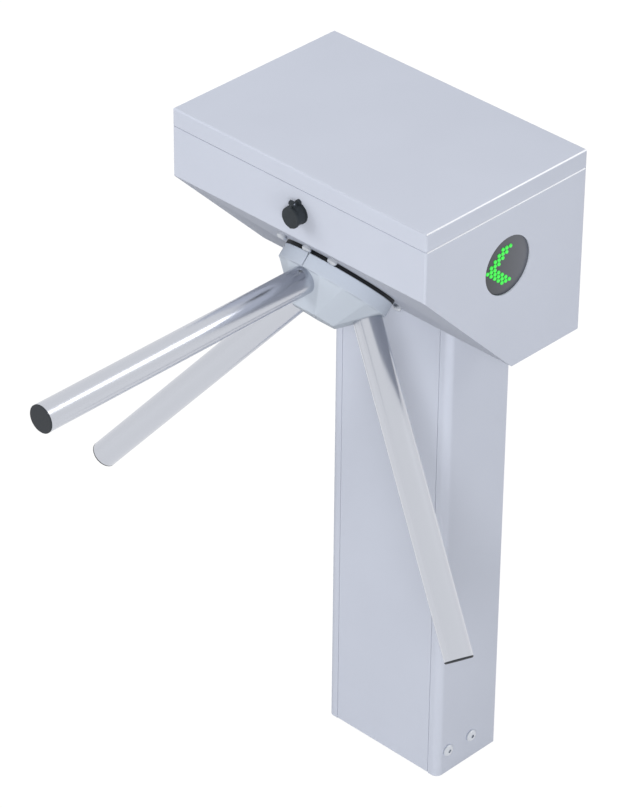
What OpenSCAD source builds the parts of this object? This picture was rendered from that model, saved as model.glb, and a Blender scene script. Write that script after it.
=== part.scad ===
// Tripod turnstile: a sheet steel housing on a narrow post, with three
// polished arms on a slanted hub that turns in front of the housing.
// The origin is the centre of the post footprint on the floor. The front is -Y.

/* [View] */
// sub-part to draw

/* [Housing] */
// overall height above the floor
total_h = 1000; // [980:1:1030]
// housing width across the passage
body_w = 440; // [420:1:480]
// housing depth from front to back
body_d = 294; // [288:1:306]
// height of the shoe-box lid
lid_h = 25; // [23:0.5:28]
// height of the upright front, lid included
front_drop = 98.5; // [96:0.5:103]
// run of the slanted face, the same across and down
slant_run = 165.5; // [162:0.5:172]
// thickness of the sheet steel
sheet_t = 2; // [1.5:0.25:2.5]
// outer radius of the sheet bends
bend_r = 3; // [2.75:0.25:4]
// shadow gap between housing and lid
lid_gap = 1; // [0.5:0.25:1.5]

/* [Post] */
// post width
post_w = 208; // [200:1:216]
// post depth
post_d = 116; // [112:1:122]
// width of the front panel of the post
panel_w = 172; // [168:1:176]
// radius of the two front corners of the post
post_corner_r = 10; // [8:0.5:12]
// gap around the front panel
panel_gap = 1; // [0.5:0.25:1.5]
// thickness of the foot plate
foot_t = 8; // [6:0.5:10]
// distance between the floor anchor holes across the passage
anchor_x = 150; // [140:1:156]
// distance between the floor anchor holes along the passage
anchor_y = 70; // [62:1:76]
// diameter of the floor anchor holes
anchor_d = 14; // [10:0.5:16]

/* [Arms] */
// outer diameter of the arm tube
arm_d = 38; // [34:0.5:40]
// wall thickness of the arm tube
arm_wall = 1.8; // [1.5:0.1:2.5]
// length from the meeting point of the arm axes to the arm tip
arm_reach = 532.8; // [480:1:560]
// depth of the meeting point of the arm axes behind the slanted face
apex_depth = 22.4; // [21.5:0.1:23.5]

/* [Hub] */
// diameter of the round rim of the hub
hub_d = 156.6; // [154:0.2:158]
// height of the flat cap above the slanted face
hub_cap_h = 68.6; // [67:0.2:71]
// height of the top of the round rim above the slanted face
hub_rim_h = 24.5; // [24:0.1:25.5]
// height of the black backplate
backplate_t = 4.3; // [3.5:0.1:5]
// running gap behind the backplate
hub_gap = 0.6; // [0.4:0.1:1]

/* [Mechanism] */
// diameter of the main shaft in its bearings
shaft_d = 25; // [24:0.5:26]
// radial clearance of a running bore
run_fit = 0.05; // [0.02:0.01:0.1]
// outer diameter of the main bearings
bearing_od = 52; // [50:0.5:54]
// width of the main bearings
bearing_w = 15; // [13:0.5:16]
// thickness of the mechanism plate
plate_t = 8; // [7:0.5:10]
// diameter of the index disc
index_d = 100; // [98:0.5:101]
// number of notches around the index disc
notch_count = 12; // [12]
// module of the gear teeth
gear_module = 2; // [2]
// teeth on the drive gear
gear_teeth = 50; // [50]
// teeth on the motor pinion
pinion_teeth = 20; // [20]

/* [Indicators and lock] */
// diameter of the round indicator window
window_d = 82; // [76:1:86]
// diameter of the lock flange on the housing
lock_d = 29.5; // [29:0.5:32]
// length of the lock body in front of the housing
lock_l = 13.2; // [12:0.2:15]

/* [Colours] */
// painted sheet
paint_colour = "#C6CAD7"; // [#C6CAD7, #B8BCC8]
// polished stainless steel
steel_colour = "#B9BCC0"; // [#B9BCC0, #A8ABAF]

/* [Hidden] */
plastic_colour = "#2E3134";
zinc_colour = "#A7A9A6";
bronze_colour = "#8C7A55";
board_colour = "#2F5D3A";
led_colour = "#5CF05C";
eps = 0.01;
cut = 1;
big_fn = 96;
mid_fn = 48;
small_fn = 24;
hex_fn = 6;
half = 0.5;
button_shares = [0.8, 0.85];

// housing levels and faces
bx = body_w / 2;
front_y = post_d / 2 - body_d;
back_y = post_d / 2;
housing_top = total_h - lid_h - lid_gap;
lid_bottom = total_h - lid_h;
lid_under = total_h - sheet_t;
slant_top_z = total_h - front_drop;
floor_z = slant_top_z - slant_run;
slant_end_y = front_y + slant_run;
in_x = bx - sheet_t;
in_front = front_y + sheet_t;
in_back = back_y - sheet_t;
in_floor = floor_z + sheet_t;
face_y = front_y + slant_run / 2;
face_z = slant_top_z - slant_run / 2;
slant_tilt = 135;

// post
px = post_w / 2;
py = post_d / 2;
pin_x = px - sheet_t;
pin_y = py - sheet_t;
panel_x = panel_w / 2;
return_x = panel_x + panel_gap;
hem_t = sheet_t;
panel_flange_d = 12;
hem_d = 19;
panel_end_gap = 10;
foot_clear = 0.5;
hook_t = 4;
hook_lip = 3;
hook_reach = 12;
hook_h = 30;
hook_low = 120;
hook_top_gap = 136;
hook_high = floor_z - hook_top_gap;
cable_hole_d = 50;
cleat_t = 4;
cleat_h = 54;
cleat_leg = 24;
cleat_half = 46;
anchor_clear = 1;
side_bolt_d = 10;
side_bolt_head_d = 17.5;
side_bolt_head_h = 5;
side_bolt_z = 38.5;
side_bolt_front = -38;
side_bolt_back = 8.6;
socket_d = 6;
socket_depth = 2.5;
nut_h10 = 8;
nut_r10 = 9;
top_plate_t = 6;
duct_w = 140;
duct_d = 76;
duct_r = 8;
top_bolt_x = 88;
top_bolt_y = 32;
m8 = 8;
m8_hex_r = 7.475;
m8_head_h = 5.3;

// lid and hinge
upstand_low = 19;
upstand_band = 8;
upstand_clear = 0.8;
upstand_high = 15;
upstand_step = 1;
seal_inset = 1;
seal_w = 2.4;
seal_clear = 0.3;
hinge_off = 4.8;
knuckle_r = 4.5;
hinge_pin_r = 2.45;
hinge_x = 150;
leaf_w = 60;
leaf_t = 2;
leaf_h = 25;
knuckle_gap = 0.2;
leaf_clear = 0.5;
leaf_edge = 0.5;
knuckle_count = 3;
pin_head_h = 1.5;
pin_head_r = 3.6;
hinge_y = back_y + hinge_off;
hinge_z = lid_bottom;

// rotor levels along the slanted axis, zero at the outer face of the slanted sheet
zi = -sheet_t;
zp = zi - plate_t;
flange_t = 8;
zf = zp - flange_t;
plate_hx = 100;
plate_hy = 98;
plate_r = 6;
face_hole_r = 30;
plate_hole_r = 23;
flange_bolt_x = 44;
flange_bolt_y = 86;
flange_head_r = 6.8;
flange_head_h = 6.5;
flange_key_d = 6;
m8_fit = 8.6;
housing_tube_r = 35;
housing_flange_r = 48;
bearing_shoulder = 4;
bearing_span = 20;
z_fb = zp - bearing_w;
z_rb = z_fb - bearing_span;
z_rb_end = z_rb - bearing_w;
circlip_t = 2;
race_share = 1 / 3;
race_groove = 1;
circlip_in = 3;
circlip_out = 1;
tube_tail = 2;
z_tube = z_rb_end - circlip_t - tube_tail;
hb_r = 42;
m6 = 6;
m6_head_d = 10;
m6_head_h = 6;
m6_depth = 6;
m6_key_d = 5.4;
shoulder_r = 16;
hub_z = hub_gap + backplate_t;
hub_bore_l = 40;
z_shaft_end = hub_z + hub_bore_l;
nose_r = 10;
nose_step = 0.5;
boss_l = 6;
boss_r = 15;
disc_t = 10;
z_disc = z_rb_end - boss_l;
z_disc_end = z_disc - disc_t;
gear_boss_l = 4;
gear_t = 8;
z_gear = z_disc_end - gear_boss_l;
z_gear_end = z_gear - gear_t;
nut_l = 12;
nut_r = 15;
thread_r = 9;
thread_extra = 4;
shaft_chamfer = 1;
z_nut_end = z_gear_end - nut_l;
z_nose_end = z_nut_end - thread_extra;
key_w = 8;
key_h = 7;
key_sink = 4;
key_top = 0.3;
key_margin = 5;
rear_key_w = 6;
rear_key_h = 6;
rear_key_sink = 3.5;
rear_key_gap = 1;
tap_r = 5;
tap_l = 25;
washer_t = 3;
washer_r = 14;
recess_r = 15;
cap_screw_r = 8;
cap_screw_h = 8;
cap_plug_t = 6;
cap_corner_r = 35;
cap_half_ang = 35.6;
socket_half_ang = 21.5;
flat_half_ang = 14;
cap_lip = 0.2;
rim_inset = 0.15;
rim_slab = 1;
hub_r = hub_d / 2;
backplate_bore = 20;
bp_screw_r = 60;
m5_r = 2.5;
m5_head_r = 4.4;
m5_head_h = 2.6;
m5_fit = 0.1;
m5_deep = 11;
groove_w = 3;
groove_d = 1.2;
arm_angles = [90, 210, 330];
gap_angles = [30, 150, 270];

// arms, measured along each arm from the meeting point of the axes
arm_tilt = 45;
arm_r = arm_d / 2;
arm_in = arm_r - arm_wall;
socket_s = 62;
stud_s = 50;
stud_r = 6;
spigot_end = 110;
lock_screw_s = 94.3;
lock_screw_turn = -13;
lock_screw_r = 2.2;
lock_screw_hole = 2.5;
lock_screw_low = 11;
lock_screw_sink = 0.7;
plug_t = 2.5;
plug_in = 24;
plug_edge = 1.1;
tube_end = arm_reach - plug_t;

// index disc and pawls, in the plane of the disc
notch_w = 8;
notch_depth = 6.5;
index_r = index_d / 2;
pawl_frame_turn = 30;
pawl_x = index_r;
pawl_y = 36;
pawl_eye_r = 7;
pawl_pin_r = 4;
pawl_side = 0.5;
tooth_gap = 1.5;
tooth_half = 3;
tooth_l = 5;
pawl_back = 11;
pawl_knee = 10;
tail_half = 4;
tail_h = 32;
post_r = 7;
post_stub = 5;
clip_t = 1.2;
clip_gap = 0.5;
clip_r = 6.5;
pin_over = 1.5;
pawl_z0 = z_disc_end + pawl_side;
pawl_z1 = z_disc - pawl_side;
plunger_r = 4;
plunger_y = 26;
plunger_tip_gap = 0.3;
solenoid_l = 28;
solenoid_w = 20;
solenoid_h = 17;
solenoid_out = 12;
coil_r = 7.5;
coil_wall = 3;
plunger_head_r = 6.5;
plunger_head_l = 3;
spring_wire = 0.8;
spring_turns = 4;
spring_r = 5.4;
bracket_t = 3;
bracket_foot = 14;
disc_mid = (z_disc + z_disc_end) / 2;

// motor
motor_off = gear_module * (gear_teeth + pinion_teeth) / 2;
motor_w = 41;
motor_corner = 4;
motor_l = 50;
motor_shaft_r = 4;
motor_boss_r = 11;
motor_boss_h = 2;
motor_hole = 15.5;
m3_r = 1.5;
m3_head_r = 2.8;
m3_head_h = 2;
pinion_tail = 2;
pressure_angle = 20;
backlash = 0.12;
tip_relief = 0.1;
root_share = 1.25;
flank_points = 5;
z_motor_end = zp - motor_l;

// sensor
sensor_gap = 3;
sensor_w = 24;
sensor_t = 8;
sensor_head = 8;
sensor_foot = 16;
sensor_turn = 90;
sensor_blade_half = 6;
sensor_blade_gap = 2;
sensor_blade_t = 2;

// electronics
board_w = 170;
board_h = 110;
board_t = 1.6;
board_off = 8;
board_rise = 64;
board_z = floor_z + board_rise;
board_part_shares = [
    [0.06, 0.10, 0.24, 0.22, 0.13],
    [0.06, 0.55, 0.16, 0.30, 0.10],
    [0.36, 0.12, 0.20, 0.26, 0.03],
    [0.36, 0.62, 0.30, 0.22, 0.12],
    [0.66, 0.12, 0.10, 0.36, 0.16],
    [0.82, 0.12, 0.10, 0.36, 0.16],
    [0.74, 0.62, 0.18, 0.20, 0.06]
];
standoff_r = 3.5;
standoff_in = 6;
supply_d = 104;
supply_h = 38;
supply_gap = 12;
supply_clear = 20;
supply_w = in_x - supply_gap - top_bolt_x - supply_clear;
supply_foot = 3;
edge_strip_t = 2;
edge_strip_lip = 3;

// indicators
window_inset = 151;
window_drop = 107.8;
window_y = front_y + window_inset;
window_z = total_h - window_drop;
window_r = window_d / 2;
window_rim = 5;
window_t = 3;
window_ring = 1;
led_cols = 6.86;
led_rows = 6.03;
led_r = 2.5;
led_fit = 0.1;
led_steps = 4;
led_row_len = 3;
led_y0 = -34.7;
led_z0 = 0.6;
led_tip = 1.2;
led_tip_r = 1.5;
led_board_t = 2;
led_board_gap = 6;
led_post_r = 3;
led_post_off = 40;

// lock on the upright front
lock_x = 5.5;
lock_drop = 59;
lock_z = total_h - lock_drop;
lock_r = lock_d / 2;
barrel_r = 10;
barrel_l = 12;
lock_nut_t = 6;
lock_nut_r = 15;
plug_r = 6;
plug_recess = 0.4;
plug_neck_r = 4;
key_slot_w = 1.6;
key_slot_h = 7;
key_slot_d = 6;
cam_t = 3;
cam_l = 36;
cam_half = 7;
cam_gap = 1;
cam_screw_r = 5;
cam_screw_h = 3;
cam_screw_shank = 2;
cam_screw_l = 8;
lock_flange_t = 2.5;
lock_body_r = 14;
stop_r = 4;
stop_t = 4;
stop_z = 15.5;
cap_r = 14.4;
cap_t = 3.5;
cap_edge = 1;
cap_rest = 0.3;
cap_drop = 1;
cap_hinge_z = 18.6;
cap_hinge_in = 0.8;
cap_ear_r = 3.3;
cap_ear_half = 1.6;
cheek_r = 3.3;
cheek_gap = 0.2;
cheek_w = 2;
cheek_low = 12;
cap_arm_t = 2.2;
cap_pin_r = 1.2;
cap_lip_r = 5;
cap_lip_h = 0.6;
catch_x0 = -38;
catch_x1 = -22;
catch_t = 2;
catch_inset = 5.5;
catch_z = 13;
catch_foot = 12;

// block between two corners
module block(x0, x1, y0, y1, z0, z1) {
    translate([x0, y0, z0]) cube([x1 - x0, y1 - y0, z1 - z0]);
}

// round bar between two heights
module rod(r, z0, z1, fn = mid_fn) {
    translate([0, 0, z0]) cylinder(r = r, h = z1 - z0, $fn = fn);
}

// round bar with a bore
module ring(r, bore, z0, z1, fn = mid_fn) {
    difference() {
        rod(r, z0, z1, fn);
        rod(bore, z0 - cut, z1 + cut, fn);
    }
}

// button head with a hexagon socket, standing on height 0
module button_head(r, h, key, deep) {
    difference() {
        rotate_extrude($fn = mid_fn)
            polygon([[0, 0], [r, 0], [r, h * half], [r * button_shares[0], h * button_shares[1]],
                [r * half, h], [0, h]]);
        translate([0, 0, h - deep]) cylinder(d = key, h = deep + cut, $fn = hex_fn);
    }
}

// rectangle with round corners
module round_rect(x0, x1, y0, y1, r) {
    translate([x0 + r, y0]) square([x1 - x0 - 2 * r, y1 - y0]);
    translate([x0, y0 + r]) square([x1 - x0, y1 - y0 - 2 * r]);
    for (x = [x0 + r, x1 - r], y = [y0 + r, y1 - r]) translate([x, y]) circle(r = r, $fn = mid_fn);
}

// drawing in the side plane, drawn out between two x positions
module along_x(x0, x1) {
    translate([x0, 0, 0]) rotate([90, 0, 90]) linear_extrude(x1 - x0) children();
}

// drawing in the front plane, drawn out between two y positions
module along_y(y0, y1) {
    translate([0, y1, 0]) rotate([90, 0, 0]) linear_extrude(y1 - y0) children();
}

// places children on an axis that runs to the back through x, z
module back_axis(x, y, z) {
    translate([x, y, z]) rotate([-90, 0, 0]) children();
}

// places children on an axis that runs to the right
module right_axis(x, y, z) {
    translate([x, y, z]) rotate([0, 90, 0]) children();
}

// frame of the slanted face, outward normal up
module on_slant() {
    translate([0, face_y, face_z]) rotate([slant_tilt, 0, 0]) children();
}

// frame of one arm, its axis up, from the meeting point of the axes
module on_arm(angle) {
    on_slant() translate([0, 0, -apex_depth]) rotate([0, 0, angle]) rotate([0, arm_tilt, 0]) children();
}

function unit(v) = v / norm(v);
function leg(p, i, s) = unit(p[(i + s + len(p)) % len(p)] - p[i]);
function corner_angle(p, i) = acos(leg(p, i, 1) * leg(p, i, -1));
function corner_run(p, i, r) = r / tan(corner_angle(p, i) / 2);
function corner_centre(p, i,
    r) = p[i] + unit(leg(p, i, 1) + leg(p, i, -1)) * r / sin(corner_angle(p, i) / 2);

// convex outline with bends of one radius at the listed corners
module bent_outline(p, r, bends) {
    polygon([for (i = [0 : len(p) - 1], s = [-1, 1])
        if (len(search(i, bends)) > 0) p[i] + leg(p, i, s) * corner_run(p, i, r)
        else if (s > 0) p[i]]);
    for (i = bends) translate(corner_centre(p, i, r)) circle(r = r, $fn = mid_fn);
}

// side outline of the housing, moved inwards by t and open at the top
function side_outline(t, top) = let (d = t * (sqrt(2) - 1)) [
    [front_y + t, top],
    [front_y + t, slant_top_z + d],
    [slant_end_y + d, floor_z + t],
    [back_y - t, floor_z + t],
    [back_y - t, top]
];

module led_window_holes() {
    right_axis(0, window_y, window_z) rod(window_r, -bx - cut, bx + cut, big_fn);
}

module housing_shell() {
    color(paint_colour) difference() {
        intersection() {
            along_x(-bx, bx) bent_outline(side_outline(0, housing_top), bend_r, [1, 2, 3]);
            linear_extrude(total_h) round_rect(-bx, bx, front_y, back_y, bend_r);
        }
        along_x(-in_x, in_x) polygon(side_outline(sheet_t, total_h));
        led_window_holes();
        on_slant() {
            rod(face_hole_r, -sheet_t - cut, cut);
            for (x = [-flange_bolt_x, 0, flange_bolt_x], y = [-flange_bolt_y, flange_bolt_y])
                translate([x, y, 0]) rod(m8_fit / 2, -sheet_t - cut, cut, small_fn);
        }
        back_axis(lock_x, front_y, lock_z) rod(barrel_r, -cut, sheet_t + cut);
        translate([0, 0, floor_z - cut]) linear_extrude(sheet_t + 2 * cut)
            round_rect(-duct_w / 2, duct_w / 2, -duct_d / 2, duct_d / 2, duct_r);
        for (x = [-top_bolt_x, top_bolt_x], y = [-top_bolt_y, top_bolt_y])
            translate([x, y, 0]) rod(m8 / 2, floor_z - cut, in_floor + cut, small_fn);
    }
}

// fixed rim inside the lid line
module lid_upstand() {
    w = in_x - upstand_clear;
    color(paint_colour) difference() {
        union() {
            block(-in_x, in_x, in_front, in_back, housing_top - upstand_low, housing_top - upstand_step);
            block(-w, w, in_front + upstand_clear, in_back - upstand_clear,
                housing_top - upstand_band, lid_bottom + upstand_high);
        }
        block(-w + sheet_t, w - sheet_t, in_front + upstand_clear + sheet_t,
            in_back - upstand_clear - sheet_t, 0, total_h);
    }
}

module lid_seal() {
    w = in_x - upstand_clear - seal_inset;
    y0 = in_front + upstand_clear + seal_inset;
    y1 = in_back - upstand_clear - seal_inset;
    color(plastic_colour) difference() {
        block(-w, w, y0, y1, lid_bottom + upstand_high, lid_under - seal_clear);
        block(-w + seal_w, w - seal_w, y0 + seal_w, y1 - seal_w, 0, total_h);
    }
}

module lid() {
    color(paint_colour) difference() {
        intersection() {
            translate([0, 0, lid_bottom]) linear_extrude(lid_h)
                round_rect(-bx, bx, front_y, back_y, bend_r);
            along_y(front_y, back_y) bent_outline([[-bx, lid_bottom], [bx, lid_bottom], [bx, total_h],
                [-bx, total_h]], bend_r, [2, 3]);
            along_x(-bx, bx) bent_outline([[front_y, lid_bottom], [back_y, lid_bottom], [back_y, total_h],
                [front_y, total_h]], bend_r, [2, 3]);
        }
        block(-in_x, in_x, in_front, in_back, lid_bottom - cut, lid_under);
    }
}

// strip that hangs from the lid beside the lock, with a foot under the lock cam
module lid_catch() {
    y0 = in_front + catch_inset;
    color(zinc_colour) {
        block(catch_x0, catch_x1, y0, y0 + catch_t, lock_z - catch_z, lid_under);
        block(catch_x0, catch_x1, y0, y0 + catch_foot, lock_z - catch_z, lock_z - catch_z + catch_t);
        block(catch_x0, catch_x1, y0, y0 + catch_foot / 2, lid_under - catch_t, lid_under);
    }
}

// leaf and knuckles of one hinge half; up is 1 for the lid side and -1 for the housing side
module hinge_leaf(up) {
    third = leaf_w / knuckle_count;
    z0 = up > 0 ? knuckle_r + leaf_clear : -leaf_h;
    z1 = up > 0 ? lid_h - bend_r : -knuckle_r - leaf_clear;
    difference() {
        union() {
            block(-leaf_w / 2, leaf_w / 2, back_y, back_y + leaf_t, hinge_z + z0, hinge_z + z1);
            if (up > 0) {
                block(-third / 2 + knuckle_gap, third / 2 - knuckle_gap, back_y, hinge_y,
                    hinge_z + leaf_edge, hinge_z + z0);
                right_axis(0, hinge_y, hinge_z)
                    rod(knuckle_r, -third / 2 + knuckle_gap, third / 2 - knuckle_gap);
            } else {
                for (x = [-leaf_w / 2, third / 2]) {
                    block(x, x + third, back_y, hinge_y, hinge_z + z1, hinge_z - leaf_edge);
                    right_axis(x, hinge_y, hinge_z) rod(knuckle_r, 0, third);
                }
            }
        }
        right_axis(0, hinge_y, hinge_z)
            rod(up > 0 ? hinge_pin_r + run_fit : hinge_pin_r, -leaf_w, leaf_w);
        if (up > 0) block(-third / 2, third / 2, back_y - cut, back_y + knuckle_gap, hinge_z - knuckle_r,
            hinge_z + leaf_edge);
    }
}

module lid_hinge_leaves() {
    color(zinc_colour) for (s = [-1, 1]) translate([s * hinge_x, 0, 0]) hinge_leaf(1);
}

module body_hinge_leaves() {
    color(zinc_colour) for (s = [-1, 1]) translate([s * hinge_x, 0, 0]) hinge_leaf(-1);
}

module hinge_pins() {
    color(steel_colour) for (s = [-1, 1]) right_axis(s * hinge_x, hinge_y, hinge_z) {
        rod(hinge_pin_r, -leaf_w / 2, leaf_w / 2);
        rod(pin_head_r, leaf_w / 2, leaf_w / 2 + pin_head_h);
        rod(pin_head_r, -leaf_w / 2 - pin_head_h, -leaf_w / 2);
    }
}

module post_plan(grow) {
    x = px + grow;
    y = py + grow;
    r = post_corner_r + grow;
    translate([-x, -y + r]) square([2 * x, 2 * y - r]);
    translate([-x + r, -y]) square([2 * (x - r), 2 * r]);
    for (s = [-1, 1]) translate([s * (x - r), -y + r]) circle(r = r, $fn = mid_fn);
}

module side_bolt_places() {
    for (s = [-1, 1], y = [side_bolt_front, side_bolt_back]) translate([s * px, y, side_bolt_z])
        rotate([0, s * 90, 0]) children();
}

module post_shell() {
    color(paint_colour) {
        difference() {
            linear_extrude(floor_z) difference() {
                post_plan(0);
                post_plan(-sheet_t);
                translate([-return_x, -py - cut]) square([2 * return_x, 2 * cut + sheet_t]);
            }
            side_bolt_places() rod(side_bolt_d / 2, -sheet_t - cut, cut, small_fn);
        }
        for (s = [-1, 1])
            block(s > 0 ? return_x : -return_x - hem_t, s > 0 ? return_x + hem_t : -return_x,
            -py, -pin_y + hem_d, foot_t + panel_end_gap, floor_z - top_plate_t - foot_clear);
    }
}

module post_front_panel() {
    color(paint_colour) {
        block(-panel_x, panel_x, -py, -pin_y, panel_gap, floor_z - panel_gap);
        for (s = [-1, 1]) block(s > 0 ? panel_x - hem_t : -panel_x, s > 0 ? panel_x : -panel_x + hem_t,
            -py, -pin_y + panel_flange_d, foot_t + panel_end_gap, floor_z - top_plate_t - panel_end_gap);
    }
}

// four hooks on the panel flanges that grip the edges of the post returns
module panel_hooks() {
    x0 = panel_x - hem_t - hook_t;
    y1 = -pin_y + hem_d;
    color(zinc_colour) for (s = [0, 1], z = [hook_low, hook_high]) mirror([s, 0, 0]) {
        block(x0, x0 + hook_t, -pin_y, y1 + hook_lip, z, z + hook_h);
        block(x0, x0 + hook_t + hook_reach, y1, y1 + hook_lip, z, z + hook_h);
    }
}

module foot_plate() {
    color(zinc_colour) difference() {
        block(-pin_x + foot_clear, pin_x - foot_clear, -pin_y + foot_clear, pin_y - foot_clear, 0,
            foot_t);
        for (x = [-anchor_x / 2, anchor_x / 2], y = [-anchor_y / 2, anchor_y / 2])
            translate([x, y, 0]) rod(anchor_d / 2, -cut, foot_t + cut, mid_fn);
        rod(cable_hole_d / 2, -cut, foot_t + cut);
        for (s = [-1, 1], q = [-1, 1]) translate([s * (pin_x - foot_clear), q * (pin_y - foot_clear), 0])
            rotate([0, 0, 45]) translate([-post_corner_r / 2, -post_corner_r / 2, -cut])
                cube([post_corner_r, post_corner_r, foot_t + 2 * cut]);
    }
}

// angles that join the foot plate to the side walls of the post
module foot_cleats() {
    color(zinc_colour) difference() {
        for (s = [0, 1]) mirror([s, 0, 0]) {
            block(pin_x - cleat_t, pin_x, -cleat_half, cleat_half, foot_t, foot_t + cleat_h);
            block(pin_x - cleat_leg, pin_x, -cleat_half, cleat_half, foot_t, foot_t + cleat_t);
        }
        for (x = [-anchor_x / 2, anchor_x / 2], y = [-anchor_y / 2, anchor_y / 2])
            translate([x, y, 0]) rod(anchor_d / 2 + anchor_clear, 0, foot_t + cleat_h, mid_fn);
        side_bolt_places() rod(side_bolt_d / 2, -sheet_t - cleat_t - cut, cut, small_fn);
    }
}

module foot_side_bolts() {
    color(steel_colour) side_bolt_places() {
        button_head(side_bolt_head_d / 2, side_bolt_head_h, socket_d, socket_depth);
        rod(side_bolt_d / 2, -sheet_t - cleat_t - nut_h10, 0, small_fn);
        translate([0, 0, -sheet_t - cleat_t - nut_h10]) cylinder(r = nut_r10, h = nut_h10, $fn = hex_fn);
    }
}

module post_top_plate() {
    color(zinc_colour) difference() {
        block(-pin_x, pin_x, -pin_y + foot_clear, pin_y, floor_z - top_plate_t, floor_z);
        translate([0, 0, floor_z - top_plate_t - cut]) linear_extrude(top_plate_t + 2 * cut)
            round_rect(-duct_w / 2, duct_w / 2, -duct_d / 2, duct_d / 2, duct_r);
        for (x = [-top_bolt_x, top_bolt_x], y = [-top_bolt_y, top_bolt_y])
            translate([x, y, 0]) rod(m8 / 2, floor_z - top_plate_t - cut, floor_z + cut, small_fn);
        for (s = [-1, 1]) translate([s * pin_x, -pin_y + foot_clear, 0]) rotate([0, 0, 45])
            translate([-post_corner_r / 2, -post_corner_r / 2, floor_z - top_plate_t - cut])
                cube([post_corner_r, post_corner_r, top_plate_t + 2 * cut]);
    }
}

module post_top_bolts() {
    color(steel_colour) for (x = [-top_bolt_x, top_bolt_x], y = [-top_bolt_y, top_bolt_y])
        translate([x, y, 0]) {
        rod(m8 / 2, floor_z - top_plate_t, in_floor, small_fn);
        translate([0, 0, in_floor]) cylinder(r = m8_hex_r, h = m8_head_h, $fn = hex_fn);
    }
}

// rubber edge strip around the cable opening in the housing floor
module cable_grommet() {
    w = duct_w / 2;
    d = duct_d / 2;
    t = edge_strip_t;
    color(plastic_colour) difference() {
        union() {
            translate([0, 0, floor_z - top_plate_t]) linear_extrude(top_plate_t + sheet_t + t)
                round_rect(-w, w, -d, d, duct_r);
            translate([0, 0, in_floor]) linear_extrude(t)
                round_rect(-w - edge_strip_lip, w + edge_strip_lip, -d - edge_strip_lip,
                    d + edge_strip_lip, duct_r);
        }
        translate([0, 0, floor_z - top_plate_t - cut]) linear_extrude(top_plate_t + sheet_t + t + 2 * cut)
            round_rect(-w + t, w - t, -d + t, d - t, duct_r - t);
    }
}

module flange_bolt_places() {
    for (x = [-flange_bolt_x, 0, flange_bolt_x], y = [-flange_bolt_y, flange_bolt_y])
        translate([x, y, 0]) children();
}

module bearing_bolt_places() {
    for (a = [45 : 90 : 315]) rotate([0, 0, a]) translate([hb_r, 0, 0]) children();
}

module mechanism_plate() {
    color(zinc_colour) on_slant() difference() {
        translate([0, 0, zp]) linear_extrude(plate_t)
            round_rect(-plate_hx, plate_hx, -plate_hy, plate_hy, plate_r);
        rod(plate_hole_r, zp - cut, zi + cut);
        flange_bolt_places() rod(m8 / 2, zp - cut, zi + cut, small_fn);
        bearing_bolt_places() rod(m6 / 2, zp - cut, zp + m6_depth, small_fn);
        translate([-motor_off, 0, 0]) for (x = [-motor_hole, motor_hole], y = [-motor_hole, motor_hole])
            translate([x, y, 0]) rod(m3_r, zp - cut, zp + m6_depth, small_fn);
        pawl_sides() translate([pawl_x, pawl_y, 0]) rod(pawl_pin_r, zp - cut, zp + post_stub, small_fn);
    }
}

module flange_bolts() {
    color(steel_colour) on_slant() flange_bolt_places() {
        button_head(flange_head_r, flange_head_h, flange_key_d, socket_depth);
        rod(m8 / 2, zp, 0, small_fn);
    }
}

module bearing_housing() {
    seat = bearing_od / 2;
    color(zinc_colour) on_slant() difference() {
        rotate_extrude($fn = big_fn) polygon([
            [seat, zp], [housing_flange_r, zp], [housing_flange_r, zf], [housing_tube_r, zf],
            [housing_tube_r, z_tube], [seat, z_tube], [seat, z_rb_end - circlip_t],
            [seat + circlip_out, z_rb_end - circlip_t], [seat + circlip_out, z_rb_end],
            [seat, z_rb_end], [seat, z_rb], [seat - bearing_shoulder, z_rb],
            [seat - bearing_shoulder, z_fb], [seat, z_fb]]);
        bearing_bolt_places() rod(m6 / 2, zf - cut, zp + cut, small_fn);
    }
}

module bearing_housing_bolts() {
    color(steel_colour) on_slant() bearing_bolt_places() {
        rod(m6 / 2, zf, zp + m6_depth, small_fn);
        difference() {
            rod(m6_head_d / 2, zf - m6_head_h, zf, small_fn);
            translate([0, 0, zf - m6_head_h - cut])
                cylinder(d = m6_key_d, h = m6_head_h / 2 + cut, $fn = hex_fn);
        }
    }
}

// ball bearing drawn as one ring with the gap between its races
module bearing_body(z0, z1) {
    ro = bearing_od / 2;
    ri = shaft_d / 2 + run_fit;
    race = (ro - ri) * race_share;
    rotate_extrude($fn = big_fn) polygon([[ri, z0], [ri + race, z0], [ri + race, z0 + race_groove],
        [ro - race, z0 + race_groove], [ro - race, z0], [ro, z0], [ro, z1], [ro - race, z1],
            [ro - race, z1 - race_groove],
        [ri + race, z1 - race_groove], [ri + race, z1], [ri, z1]]);
}

module main_bearings() {
    color(steel_colour) on_slant() {
        bearing_body(z_fb, zp);
        bearing_body(z_rb_end, z_rb);
    }
}

module bearing_circlip() {
    color(steel_colour) on_slant() ring(bearing_od / 2 + circlip_out, bearing_od / 2 - circlip_in,
        z_rb_end - circlip_t, z_rb_end, big_fn);
}

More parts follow.
